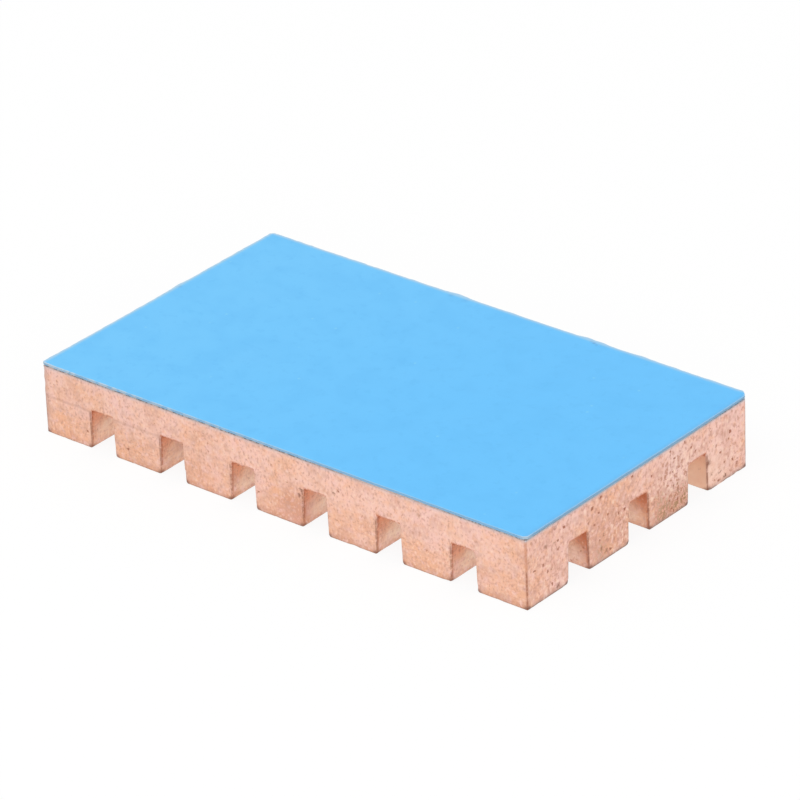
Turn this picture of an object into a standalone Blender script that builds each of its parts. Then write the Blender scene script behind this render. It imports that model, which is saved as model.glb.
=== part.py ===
"""Copper heat sink for an SSD, with its thermal adhesive and release liner.

A formed copper block has two crossing sets of slots in its underside, which leave a grid of
square pins under a base plate. The flat side of the plate carries a sheet of thermal adhesive,
and a film covers the adhesive until the part is fitted.

Units are metres. +Z is up, X runs along the long side, and the origin is the middle of the
footprint, at the level of the pin tips.
"""

import math

import bmesh
import bpy
from mathutils import Vector

MM = 0.001

# Copper block
BLOCK_LENGTH = 22.0 * MM
BLOCK_WIDTH = 12.45 * MM
BASE_THICKNESS = 1.16 * MM
BLOCK_CORNER_RADIUS = 0.06 * MM
BLOCK_TOP_RADIUS = 0.04 * MM
BLOCK_BOTTOM_RADIUS = 0.05 * MM

# Pins, and the slots between them
PINS_ALONG_LENGTH = 7
PINS_ALONG_WIDTH = 4
PIN_HEIGHT = 1.56 * MM
SLOT_MOUTH = 1.13 * MM
SLOT_DRAFT = math.radians(2.0)
ROOT_RADIUS = 0.06 * MM
LIP_RADIUS = 0.11 * MM

# Thermal adhesive, set back from the sides of the block
ADHESIVE_THICKNESS = 0.055 * MM
ADHESIVE_SETBACK = 0.01 * MM
ADHESIVE_CORNER_RADIUS = 0.2 * MM

# Release liner, standing out past the sides of the block, and farthest past the +Y side
LINER_THICKNESS = 0.05 * MM
LINER_OVERHANG = 0.02 * MM
LINER_BACK_OVERHANG = 0.26 * MM
LINER_CORNER_RADIUS = 0.12 * MM

# Gap between stacked layers, far thinner than any of them
LAYER_GAP = 0.01 * MM

# Facets of each rounded edge, and how near two points are that the slots' meeting edges share
ROUNDING_SEGMENTS = 4
WELD_DISTANCE = 0.0001 * MM

BLOCK_HEIGHT = BASE_THICKNESS + PIN_HEIGHT
ADHESIVE_BOTTOM = BLOCK_HEIGHT + LAYER_GAP
LINER_BOTTOM = ADHESIVE_BOTTOM + ADHESIVE_THICKNESS + LAYER_GAP

# Base colour, roughness and metallic value of each material
FINISHES = {
    "pressed_copper": ((0.80, 0.47, 0.34, 1.0), 0.55, 1.0),
    "thermal_adhesive": ((0.16, 0.15, 0.15, 1.0), 0.8, 0.0),
    "liner_film": ((0.17, 0.57, 1.0, 1.0), 0.35, 0.0),
}


def clear_scene():
    """Remove every object, so that the part starts from an empty scene."""
    for obj in list(bpy.data.objects):
        bpy.data.objects.remove(obj, do_unlink=True)


def new_collection(name):
    """Add an empty collection to the scene."""
    collection = bpy.data.collections.new(name)
    bpy.context.scene.collection.children.link(collection)
    return collection


def make_material(name):
    """A Principled material with the named finish."""
    colour, roughness, metallic = FINISHES[name]
    material = bpy.data.materials.new(name)
    material.use_nodes = True
    shader = material.node_tree.nodes["Principled BSDF"]
    shader.inputs["Base Color"].default_value = colour
    shader.inputs["Roughness"].default_value = roughness
    shader.inputs["Metallic"].default_value = metallic
    material.diffuse_color = colour
    return material


def add_object(name, bm, collection, material=None):
    """Store a bmesh as a named object in the collection."""
    bmesh.ops.recalc_face_normals(bm, faces=bm.faces)
    mesh = bpy.data.meshes.new(name)
    bm.to_mesh(mesh)
    bm.free()
    if material:
        mesh.materials.append(material)
    obj = bpy.data.objects.new(name, mesh)
    collection.objects.link(obj)
    return obj


def make_box(length, width, height):
    """A bmesh box centred on the Z axis, with its underside at zero."""
    bm = bmesh.new()
    bmesh.ops.create_cube(bm, size=1.0)
    bmesh.ops.translate(bm, vec=Vector((0.0, 0.0, 0.5)), verts=bm.verts)
    bmesh.ops.scale(bm, vec=Vector((length, width, height)), verts=bm.verts)
    return bm


def runs_along(edge, axis):
    """True for an edge that runs along one axis, by number."""
    run = edge.verts[1].co - edge.verts[0].co
    return abs(run[axis]) > 0.999 * run.length


def height_of(edge):
    """Height of an edge's middle."""
    return 0.5 * (edge.verts[0].co.z + edge.verts[1].co.z)


def round_edges(bm, edges, radius):
    """Round edges to a radius."""
    bmesh.ops.bevel(
        bm,
        geom=edges,
        affect="EDGES",
        offset=radius,
        offset_type="OFFSET",
        segments=ROUNDING_SEGMENTS,
        profile=0.5,
        material=-1,
        clamp_overlap=True,
    )


def make_block(collection, material):
    """The copper block before its slots are formed, with three radii on its outer edges.

    Each edge's bevel weight is its radius as a share of the widest one.
    """
    bm = make_box(BLOCK_LENGTH, BLOCK_WIDTH, BLOCK_HEIGHT)
    widest = max(BLOCK_CORNER_RADIUS, BLOCK_TOP_RADIUS, BLOCK_BOTTOM_RADIUS)
    weight = bm.edges.layers.float.new("bevel_weight_edge")
    for edge in bm.edges:
        if runs_along(edge, 2):
            radius = BLOCK_CORNER_RADIUS
        elif height_of(edge) > 0.5 * BLOCK_HEIGHT:
            radius = BLOCK_TOP_RADIUS
        else:
            radius = BLOCK_BOTTOM_RADIUS
        edge[weight] = radius / widest
    block = add_object("copper_heat_sink", bm, collection, material)
    rounding = block.modifiers.new("outer_edges", "BEVEL")
    rounding.limit_method = "WEIGHT"
    rounding.width = widest
    rounding.segments = ROUNDING_SEGMENTS
    return block


def make_slot_cutter(name, run, collection):
    """The shape of one slot along X, as a solid.

    It has drafted walls and round root corners, and it stands on a wider strip that lies below
    the block. Rounding the inner corners between strip and walls flares the slot's mouth, which
    is what breaks the edges of the pin tips.
    """
    mouth = 0.5 * SLOT_MOUTH
    root = mouth - PIN_HEIGHT * math.tan(SLOT_DRAFT)
    bm = make_box(run, 2.0 * SLOT_MOUTH, SLOT_MOUTH)
    bmesh.ops.translate(bm, vec=Vector((0.0, 0.0, -SLOT_MOUTH)), verts=bm.verts)
    for side in (-mouth, mouth):
        bmesh.ops.bisect_plane(
            bm,
            geom=bm.verts[:] + bm.edges[:] + bm.faces[:],
            plane_co=Vector((0.0, side, 0.0)),
            plane_no=Vector((0.0, 1.0, 0.0)),
        )
    middle = [
        face
        for face in bm.faces
        if face.normal.z > 0.9 and abs(face.calc_center_median().y) < mouth
    ]
    grown = bmesh.ops.extrude_face_region(bm, geom=middle)
    bmesh.ops.delete(bm, geom=middle, context="FACES_ONLY")
    top = [item for item in grown["geom"] if isinstance(item, bmesh.types.BMVert)]
    bmesh.ops.translate(bm, vec=Vector((0.0, 0.0, PIN_HEIGHT)), verts=top)
    bmesh.ops.scale(bm, vec=Vector((1.0, root / mouth, 1.0)), verts=top)
    lengthwise = [edge for edge in bm.edges if runs_along(edge, 0)]
    round_edges(bm, [edge for edge in lengthwise if height_of(edge) > 0.5 * PIN_HEIGHT], ROOT_RADIUS)
    round_edges(bm, [edge for edge in bm.edges if is_lip(edge, mouth)], LIP_RADIUS)
    cutter = add_object(name, bm, collection)
    cutter.hide_render = True
    cutter.display_type = "WIRE"
    return cutter


def is_lip(edge, mouth):
    """True for an edge along the slot's mouth, where a wall meets the wide strip."""
    return runs_along(edge, 0) and all(
        abs(vert.co.z) < WELD_DISTANCE and abs(abs(vert.co.y) - mouth) < WELD_DISTANCE
        for vert in edge.verts
    )


def slot_centres(side, pins):
    """Centres of the slots that leave equal pins along a side of the block."""
    pin = (side - (pins - 1) * SLOT_MOUTH) / pins
    pitch = pin + SLOT_MOUTH
    return [(i + 1 - 0.5 * pins) * pitch for i in range(pins - 1)]


def place_cutters(first, places, angle, collection):
    """Put a cutter at the first place and a copy that shares its mesh at each other one."""
    for number, (x, y) in enumerate(places):
        cutter = first
        if number:
            cutter = first.copy()
            collection.objects.link(cutter)
        cutter.location = (x, y, 0.0)
        cutter.rotation_euler = (0.0, 0.0, angle)


def form_slots(block, cutters):
    """Form the slots of both directions in the underside of the block."""
    overrun = 2.0 * SLOT_MOUTH
    along = make_slot_cutter("slot_along_length", BLOCK_LENGTH + overrun, cutters)
    across = make_slot_cutter("slot_across_length", BLOCK_WIDTH + overrun, cutters)
    rows = [(0.0, y) for y in slot_centres(BLOCK_WIDTH, PINS_ALONG_WIDTH)]
    columns = [(x, 0.0) for x in slot_centres(BLOCK_LENGTH, PINS_ALONG_LENGTH)]
    place_cutters(along, rows, 0.0, cutters)
    place_cutters(across, columns, math.radians(90.0), cutters)
    slots = block.modifiers.new("slots", "BOOLEAN")
    slots.operation = "DIFFERENCE"
    slots.solver = "EXACT"
    slots.operand_type = "COLLECTION"
    slots.collection = cutters
    weld = block.modifiers.new("shared_points", "WELD")
    weld.merge_threshold = WELD_DISTANCE


def make_sheet(name, bottom, thickness, margin, back_margin, corner_radius, collection, material):
    """A flat sheet over the block, with its sides past the block's by the two margins.

    The back margin is for the +Y side, and the other one for the three other sides.
    """
    width = BLOCK_WIDTH + margin + back_margin
    bm = make_box(BLOCK_LENGTH + 2.0 * margin, width, thickness)
    bmesh.ops.translate(bm, vec=Vector((0.0, 0.5 * (back_margin - margin), 0.0)), verts=bm.verts)
    round_edges(bm, [edge for edge in bm.edges if runs_along(edge, 2)], corner_radius)
    sheet = add_object(name, bm, collection, material)
    sheet.location.z = bottom
    return sheet


def main():
    """Build the heat sink and its two sheets under one parent."""
    clear_scene()
    parts = new_collection("ssd_heat_sink")
    cutters = new_collection("slot_cutters")
    footprint_centre = bpy.data.objects.new("footprint_centre", None)
    parts.objects.link(footprint_centre)
    block = make_block(parts, make_material("pressed_copper"))
    form_slots(block, cutters)
    adhesive = make_sheet(
        "thermal_adhesive",
        ADHESIVE_BOTTOM,
        ADHESIVE_THICKNESS,
        -ADHESIVE_SETBACK,
        -ADHESIVE_SETBACK,
        ADHESIVE_CORNER_RADIUS,
        parts,
        make_material("thermal_adhesive"),
    )
    liner = make_sheet(
        "release_liner",
        LINER_BOTTOM,
        LINER_THICKNESS,
        LINER_OVERHANG,
        LINER_BACK_OVERHANG,
        LINER_CORNER_RADIUS,
        parts,
        make_material("liner_film"),
    )
    for part in (block, adhesive, liner):
        part.parent = footprint_centre


main()
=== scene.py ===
"""Looks of a small copper heat sink for an SSD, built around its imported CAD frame.

The copper block, its thermal adhesive and the release film over it are each made here as one
detailed piece that stands for the plain CAD solid of the same place.
"""

import logging
import math
import random
from dataclasses import dataclass, field
from enum import Enum
from functools import reduce
from operator import or_
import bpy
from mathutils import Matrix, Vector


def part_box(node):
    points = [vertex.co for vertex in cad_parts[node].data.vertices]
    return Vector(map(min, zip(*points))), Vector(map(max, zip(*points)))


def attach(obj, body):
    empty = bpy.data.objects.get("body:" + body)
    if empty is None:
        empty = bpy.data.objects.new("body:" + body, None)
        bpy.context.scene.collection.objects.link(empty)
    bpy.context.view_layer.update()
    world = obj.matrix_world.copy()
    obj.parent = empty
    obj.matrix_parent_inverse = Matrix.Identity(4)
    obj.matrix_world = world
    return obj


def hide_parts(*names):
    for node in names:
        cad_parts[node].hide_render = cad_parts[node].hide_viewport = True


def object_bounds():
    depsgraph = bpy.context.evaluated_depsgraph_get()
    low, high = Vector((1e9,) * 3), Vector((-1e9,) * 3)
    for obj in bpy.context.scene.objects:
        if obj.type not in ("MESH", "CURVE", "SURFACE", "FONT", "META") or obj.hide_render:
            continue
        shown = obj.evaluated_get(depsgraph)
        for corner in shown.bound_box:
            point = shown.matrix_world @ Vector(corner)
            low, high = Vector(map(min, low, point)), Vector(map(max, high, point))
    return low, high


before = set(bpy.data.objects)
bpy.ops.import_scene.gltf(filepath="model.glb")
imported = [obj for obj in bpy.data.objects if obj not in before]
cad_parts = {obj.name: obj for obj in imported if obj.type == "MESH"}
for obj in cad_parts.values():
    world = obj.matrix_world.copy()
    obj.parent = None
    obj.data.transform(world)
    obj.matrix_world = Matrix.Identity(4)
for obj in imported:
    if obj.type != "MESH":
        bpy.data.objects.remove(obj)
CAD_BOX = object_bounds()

from types import SimpleNamespace
from typing import Any, Iterable

import bmesh
import bpy
from bmesh.types import BMEdge, BMesh, BMVert
from bpy.types import Material, Node, NodeSocket, NodeTree, Object
from mathutils import Quaternion, Vector, noise

MM = 0.001

# Layout of the block, which both its shape and its finish follow
BLOCK_SIDES = (22.0 * MM, 12.45 * MM)
BLOCK_TOP = 2.72 * MM
PINS = (7, 4)
PIN_HEIGHT = 1.56 * MM
SLOT_MOUTH = 1.13 * MM

# Marks that each point of the block carries for the finish
POINT_MARKS = ("edge_wear", "pore_depth")

# How far from a level, or from a plane that cuts, a point may lie and still count as on it
LEVEL_SLACK = 0.001 * MM
TRUE_SLACK = 0.00001 * MM

# Sockets of the Mix node when it mixes colours
MIX_A = 6
MIX_B = 7
MIX_RESULT = 2

# Two numbers that belong together, such as where a mask is nothing and where it is full
Pair = tuple[float, float]

log = logging.getLogger("ssd_heat_sink")


class Axis(Enum):
    """Axes of the part, with the index of each in a vector."""

    LENGTH = 0
    WIDTH = 1
    HEIGHT = 2


class Corner(Enum):
    """Corners of the footprint, each with the signs of its X and Y."""

    LEFT = (-1, -1)
    FRONT = (1, -1)
    RIGHT = (1, 1)
    BACK = (-1, 1)


# Tools for materials


def mm(*lengths: float) -> tuple[float, ...]:
    """Lengths in metres from lengths in millimetres."""
    return tuple(length * MM for length in lengths)


def linear(code: str) -> tuple[float, float, float, float]:
    """Turn an sRGB colour into linear light.

    Args:
        code: The colour as six hex digits after a hash.

    Returns:
        Red, green, blue and a full alpha.
    """
    shares = [int(code[i : i + 2], 16) / 255 for i in (1, 3, 5)]
    red, green, blue = (
        share / 12.92 if share <= 0.04045 else ((share + 0.055) / 1.055) ** 2.4 for share in shares
    )
    return red, green, blue, 1.0


@dataclass(frozen=True)
class Value:
    """A number or a place in a shader, which joins with others by arithmetic.

    Attributes:
        tree: Tree that it belongs to.
        socket: Output that gives it.
    """

    tree: NodeTree
    socket: NodeSocket

    def beside(self, output: str) -> "Value":
        """Another output of the same node."""
        return Value(self.tree, self.socket.node.outputs[output])

    def joined(self, operation: str, other: "Value | float" = 0.0) -> "Value":
        """Join it with another value by one arithmetic operation."""
        return add_node(self.tree, "ShaderNodeMath", {"operation": operation, 0: self, 1: other})

    def __add__(self, other: "Value | float") -> "Value":
        """Sum of two values."""
        return self.joined("ADD", other)

    def __sub__(self, other: "Value | float") -> "Value":
        """Difference of two values."""
        return self.joined("SUBTRACT", other)

    def __mul__(self, other: "Value | float") -> "Value":
        """Product of two values, which for masks is where both hold."""
        return self.joined("MULTIPLY", other)

    def __or__(self, other: "Value | float") -> "Value":
        """The larger of two values, which for masks is where either holds."""
        return self.joined("MAXIMUM", other)

    def __and__(self, other: "Value | float") -> "Value":
        """The smaller of two values."""
        return self.joined("MINIMUM", other)

    def ramp(self, start: float, end: float, top: float = 1.0) -> "Value":
        """Turn the value into a mask that goes up smoothly between two limits.

        Args:
            start: Where the mask is 0.
            end: Where it reaches its top, above the start or below it.
            top: Highest value of the mask.

        Returns:
            The mask.
        """
        rising = {"From Min": start, "From Max": end, "To Min": 0.0, "To Max": top}
        falling = {"From Min": end, "From Max": start, "To Min": top, "To Max": 0.0}
        settings = {"interpolation_type": "SMOOTHSTEP", "Value": self}
        return add_node(
            self.tree, "ShaderNodeMapRange", settings | (falling if start > end else rising)
        )

    def mottled(self, size: float, detail: float) -> "Value":
        """Random mottling laid out by this place, with spots of this size in metres."""
        settings = {"Scale": 1.0 / size, "Detail": detail, "Roughness": 0.6, "Vector": self}
        return add_node(self.tree, "ShaderNodeTexNoise", settings)

    def stretched(self, *scale: float) -> "Value":
        """Place with its three coordinates scaled, which stretches the patterns laid out by it."""
        return add_node(self.tree, "ShaderNodeMapping", {"Scale": scale, "Vector": self})


def set_up(node: Node, settings: dict[Any, Any]) -> None:
    """Set or link a node's properties and inputs.

    Args:
        node: The node.
        settings: What each is set to, or the value that it is linked to, by its name or index.
    """
    for name, value in settings.items():
        if isinstance(value, Value):
            value.tree.links.new(value.socket, node.inputs[name])
        elif isinstance(name, str) and hasattr(node, name):
            setattr(node, name, value)
        else:
            node.inputs[name].default_value = value


def add_node(
    tree: NodeTree, kind: str, settings: dict[Any, Any], output: str | int = 0
) -> Value:
    """Add a node to a tree.

    Args:
        tree: The tree that gets the node.
        kind: The node's type, such as ShaderNodeTexNoise.
        settings: What each property or input is set to, or the value that it is linked to.
        output: Name or index of the output that is wanted.

    Returns:
        The value that the output gives.
    """
    node = tree.nodes.new(kind)
    set_up(node, settings)
    return Value(tree, node.outputs[output])


def new_material(name: str) -> tuple[Material, Node, Value]:
    """Make a material with a Principled shader.

    Args:
        name: Name of the material.

    Returns:
        The material, its shader node, and the place on the piece that patterns are laid out by.
    """
    material = bpy.data.materials.new(name)
    material.use_nodes = True
    tree = material.node_tree
    return material, tree.nodes["Principled BSDF"], add_node(tree, "ShaderNodeTexCoord", {}, "Object")


def layered(ground: str, layers: Iterable[tuple[str, Value]]) -> Value:
    """Lay colours over a ground colour, each through its own mask.

    Args:
        ground: Hex colour under all the layers.
        layers: Hex colour and mask of each layer, from the lowest up.

    Returns:
        The finished colour.
    """
    below = linear(ground)
    for colour, mask in layers:
        settings = {"data_type": "RGBA", "Factor": mask, MIX_A: below, MIX_B: linear(colour)}
        below = add_node(mask.tree, "ShaderNodeMix", settings, MIX_RESULT)
    return below


@dataclass(frozen=True)
class Patch:
    """A patch of a surface where it looks different, such as a stain.

    Attributes:
        place: Its centre, in metres.
        radius: How far it reaches.
        strength: How strongly it shows at its centre.
    """

    place: tuple[float, ...]
    radius: float
    strength: float


def patches(*rows: tuple[float, float, float, float, float]) -> tuple[Patch, ...]:
    """Make patches from rows of X, Y, Z, radius and strength, with all lengths in millimetres."""
    return tuple(Patch(mm(x, y, z), reach * MM, share) for x, y, z, reach, share in rows)


def patched(place: Value, among: Iterable[Patch]) -> Value:
    """Mask some patches, each of which fades out from its centre.

    Args:
        place: Place on the piece.
        among: The patches.

    Returns:
        The mask.
    """
    spots = []
    for patch in among:
        settings = {"operation": "DISTANCE", 0: place, 1: patch.place}
        away = add_node(place.tree, "ShaderNodeVectorMath", settings, "Value")
        spots.append(away.ramp(patch.radius, 0.0, patch.strength))
    return reduce(or_, spots)


def background_rays(tree: NodeTree) -> Value:
    """Mask of the rays that see the background: from the camera, off metal and through glass."""
    camera = add_node(tree, "ShaderNodeLightPath", {}, "Is Camera Ray")
    return camera | (camera.beside("Is Glossy Ray") | camera.beside("Is Transmission Ray"))


# Finishes


@dataclass(frozen=True)
class PressedCopper:
    """Bare copper, pressed from powder and sintered.

    It is matte and salmon pink, with a fine mottled grain, open pores that show as brown specks,
    and brown lines where its edges have darkened, with painted shade round the pin tips and on
    the upright +X -Y edges. The pins are warmer than the base and darker near their feet. The
    slots carry painted light deep in, and painted orange shade at their roots, under their roofs
    and at the lips over them. The grain, pores and speckle are stronger on the short sides.
    """

    name: str = "pressed_sintered_copper"
    roughness: float = 0.52

    # Colours of the grain, of the larger tones, of the pins and their feet, of rust, and the painted
    # light and painted shade on the walls of the slots
    ground: str = "#F8CDBB"
    light_grain: str = "#FFE0CC"
    dark_grain: str = "#D6A592"
    pink: str = "#F7CEC4"
    orange: str = "#F4BE9B"
    pale: str = "#F3D2C8"
    tan: str = "#DDA488"
    warm_pin: str = "#F3C0A3"
    foot_tone: str = "#DDA588"
    end_foot_tone: str = "#DDB3A6"
    slot_fill_light: str = "#FFE6CC"
    polished_wall: str = "#FFD9BC"
    wall_fill_light: str = "#FFDCC8"
    root_shade: str = "#FFBF98"
    burnish: str = "#CA7448"

    # Colours of pores, of worn and darker edges, of the painted shade on the pin tips and upright
    # edges, of the grey band under the top edge, and of the painted blue reflection of the film there
    pore: str = "#B87A5C"
    pit: str = "#A8674B"
    deep_pit: str = "#8C5A45"
    tarnish: str = "#9C7040"
    arris: str = "#93573D"
    front_edge: str = "#C98A6A"
    darkened_edge: str = "#9C6650"
    grey_brown: str = "#7C665E"
    edge_shade_grey: str = "#7F7F88"
    smear: str = "#B5A9A8"
    film_blue_reflection: str = "#BFC4CC"
    wide_film_reflection: str = "#BCC9D7"

    # Sizes of the patterns' features. The finest are a little coarser than real, so that they show
    grain_size: float = 0.1 * MM
    end_grain_size: float = 0.13 * MM
    streak_size: float = 0.06 * MM
    tone_size: float = 0.24 * MM
    mottle_size: float = 0.42 * MM
    cloud_size: float = 0.8 * MM
    bloom_size: float = 1.5 * MM
    flake_size: float = 0.14 * MM
    break_size: float = 0.3 * MM
    stray_size: float = 0.12 * MM
    stray_reach: float = 0.25 * MM
    relief: float = 0.005 * MM

    # Size of the cells that may each hold one pore, and how far a pore reaches as a share of it
    fine_pores: Pair = (0.13 * MM, 0.42)
    wide_pores: Pair = (0.36 * MM, 0.27)

    # Distances in from the nearest side, first where a mask is nothing and then where it is full
    short_side: Pair = mm(0.05, 0.03)
    outer_face: Pair = mm(0.06, 0.02)
    slot_wall: Pair = mm(0.02, 0.06)
    slot_brim: Pair = mm(0.13, 0.04)
    slot_depth: Pair = mm(0.0, 0.9)

    # The same for distances from an upright edge of a pin, from a corner of its tip, and from the
    # middle of the nearest slot
    edge_wear: Pair = mm(0.15, 0.06)
    arris_band: Pair = mm(0.06, 0.02)
    corner_wear: Pair = mm(0.26, 0.08)
    between_pins: Pair = (0.5 * SLOT_MOUTH - 0.02 * MM, 0.5 * SLOT_MOUTH - 0.06 * MM)

    # The same for heights over the pin tips
    slot_height: Pair = mm(0.0, 0.5)
    foot_height: Pair = mm(0.32, 0.128)
    tip_height: Pair = mm(0.18, 0.08)
    tip_shade_height: Pair = mm(0.04, 0.08)
    lit_wall_height: Pair = mm(1.1, 0.2)
    pin_height: Pair = (PIN_HEIGHT, 0.6 * PIN_HEIGHT)
    edge_height: Pair = (PIN_HEIGHT, 0.9 * PIN_HEIGHT)
    root_height: Pair = (0.4 * PIN_HEIGHT, 0.9 * PIN_HEIGHT)
    roof_height: Pair = (0.87 * PIN_HEIGHT, 0.95 * PIN_HEIGHT)
    over_roof: Pair = (PIN_HEIGHT + 0.1 * MM, PIN_HEIGHT + 0.03 * MM)
    under_roof: Pair = (PIN_HEIGHT - 0.08 * MM, PIN_HEIGHT)
    top_band_height: Pair = (BLOCK_TOP - 0.08 * MM, BLOCK_TOP)
    wide_reflection_height: Pair = (BLOCK_TOP - 0.17 * MM, BLOCK_TOP - 0.05 * MM)
    witness_width: float = 0.1 * MM

    # Patches: stains and tones, painted shade and painted light on slot walls, the front edge's painted
    # shade line, darker far edges, and single pits
    stains: tuple[Patch, ...] = patches(
        (11.0, 2.4, 0.4, 1.0, 1.0),
        (11.0, 1.5, 0.3, 1.0, 0.8),
        (11.0, 1.2, 0.9, 0.6, 0.5),
        (11.0, -2.1, 0.4, 0.6, 0.5),
    )
    tans: tuple[Patch, ...] = patches(
        (11.0, -1.7, 1.1, 3.0, 0.75),
        (11.0, 1.7, 0.7, 2.6, 0.75),
        (11.0, -5.0, 2.2, 2.8, 0.3),
        (0.75, -6.2, 0.5, 1.6, 0.9),
        (-3.7, -6.2, 0.8, 2.4, 0.25),
        (-10.0, -6.2, 0.3, 0.6, 0.4),
    )
    pales: tuple[Patch, ...] = patches((11.0, 5.0, 0.35, 1.0, 0.5), (11.0, 2.3, 1.8, 1.9, 0.75))
    rusts: tuple[Patch, ...] = patches((0.95, -6.2, 0.3, 1.6, 0.22))
    wall_top_shades: tuple[Patch, ...] = patches(
        (10.9, -2.6, 1.6, 1.3, 0.85), (10.9, 0.7, 1.6, 1.3, 0.85)
    )
    evenly_lit_walls: tuple[Patch, ...] = patches((10.6, 3.96, 0.7, 1.6, 1.6))
    speckles: tuple[Patch, ...] = patches((11.0, 2.1, 0.8, 2.1, 1.4), (11.0, -0.9, 1.0, 1.5, 0.6))
    witnesses: tuple[Patch, ...] = patches((-9.0, -6.2, 1.6, 13.0, 0.8))
    front_edges: tuple[Patch, ...] = patches((11.0, -6.225, 0.0, 0.12, 0.65))
    far_edges: tuple[Patch, ...] = patches(
        (-11.0, -6.225, 0.0, 0.3, 0.3), (11.0, 6.225, 0.0, 0.14, 0.15)
    )
    pits: tuple[Patch, ...] = patches(
        (11.0, -5.16, 1.99, 0.13, 0.8),
        (11.0, -4.69, 1.95, 0.1, 0.6),
        (11.0, -4.88, 1.0, 0.1, 0.7),
        (11.0, -5.64, 0.91, 0.1, 0.5),
        (11.0, -4.56, 0.21, 0.14, 0.9),
        (11.0, -4.6, 2.52, 0.12, 0.6),
        (11.0, -2.0, 1.03, 0.1, 0.8),
        (11.0, -2.1, 0.55, 0.12, 0.8),
        (11.0, -1.85, 0.34, 0.12, 0.7),
        (11.0, 4.03, 1.12, 0.16, 1.0),
        (11.0, 4.22, 0.6, 0.12, 0.8),
        (11.0, 4.66, 0.45, 0.1, 0.8),
        (11.0, 4.96, 0.2, 0.13, 1.0),
        (11.0, 2.0, 1.12, 0.11, 0.7),
        (11.0, 2.25, 0.86, 0.1, 0.7),
        (1.04, -6.22, 1.45, 0.11, 0.9),
        (0.95, -6.22, 1.25, 0.12, 0.9),
        (2.54, -6.22, 1.8, 0.1, 0.7),
        (6.35, -6.22, 2.2, 0.12, 0.5),
    )

    def material(self) -> Material:
        """Build the material.

        Returns:
            The material.
        """
        material, shader, place = new_material(self.name)
        masks = SimpleNamespace(place=place)
        self.find_place(masks)
        self.find_grain(masks)
        self.find_pins(masks)
        self.find_walls(masks)
        self.find_wear(masks)
        rough = {
            "From Min": 0.3,
            "From Max": 0.7,
            "To Min": self.roughness - 0.08,
            "To Max": self.roughness + 0.1,
            "Value": masks.mottle,
        }
        relief = masks.grain + masks.mottle - masks.pores
        bump = {"Strength": 0.8, "Distance": self.relief, "Height": relief}
        surface = {
            "Base Color": layered(self.ground, [*self.tones(masks), *self.marks(masks)]),
            "Metallic": 1.0,
            "Roughness": add_node(place.tree, "ShaderNodeMapRange", rough),
            "Normal": add_node(place.tree, "ShaderNodeBump", bump),
        }
        set_up(shader, surface)
        return material

    def find_place(self, masks: SimpleNamespace) -> None:
        """Add where a place lies: on a short side, in a slot, on a pin or at its tip.

        Args:
            masks: The masks so far, which get these too.
        """
        place = masks.place
        first = add_node(place.tree, "ShaderNodeSeparateXYZ", {"Vector": place})
        masks.coordinates = (first, first.beside("Y"), first.beside("Z"))
        masks.height = height = masks.coordinates[2]
        from_end, from_long = (
            along.joined("ABSOLUTE") * -1.0 + 0.5 * side
            for along, side in zip(masks.coordinates, BLOCK_SIDES)
        )
        masks.inward = from_end & from_long
        masks.end = from_end.ramp(*self.short_side)
        masks.slot = masks.inward.ramp(*self.slot_depth) * height.ramp(*self.slot_height)
        masks.on_pin = height.ramp(*self.pin_height)
        masks.wall = masks.inward.ramp(*self.slot_wall)
        masks.low = height.ramp(*self.tip_height)
        masks.footprint = place.stretched(1.0, 1.0, 0.0)

    def find_grain(self, masks: SimpleNamespace) -> None:
        """Add the grain, its larger tones, and the pores, pits and stains scattered in it.

        Args:
            masks: The masks so far, which get these too.
        """
        place, end = masks.place, masks.end
        upright = place.stretched(1.0, 1.0, 0.8)
        sizes = (self.grain_size, self.end_grain_size)
        plain, coarse = (upright.mottled(size, 2.5) for size in sizes)
        masks.grain = add_node(place.tree, "ShaderNodeMix", {0: end, 2: plain, 3: coarse})
        masks.mottle = place.mottled(self.mottle_size, 2.0)
        masks.tone = place.mottled(self.tone_size, 1.5)
        masks.cloud = place.mottled(self.cloud_size, 1.0)
        masks.bloom = place.mottled(self.bloom_size, 1.0)
        streak = place.stretched(0.16, 0.16, 1.0).mottled(self.streak_size, 2.0)
        masks.streaked = streak.ramp(0.52, 0.7) * masks.on_pin
        masks.speckled = end * patched(place, self.speckles)
        around = self.strayed(place)
        fine = self.scattered(around, *self.fine_pores, (end * 0.36 + 0.1) * masks.mottle)
        masks.pores = fine | self.scattered(around, *self.wide_pores, end * 0.4 + 0.06)
        masks.pitted = patched(around, self.pits)
        masks.stained = patched(around, self.stains) * masks.grain.ramp(0.47, 0.58)

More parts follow.
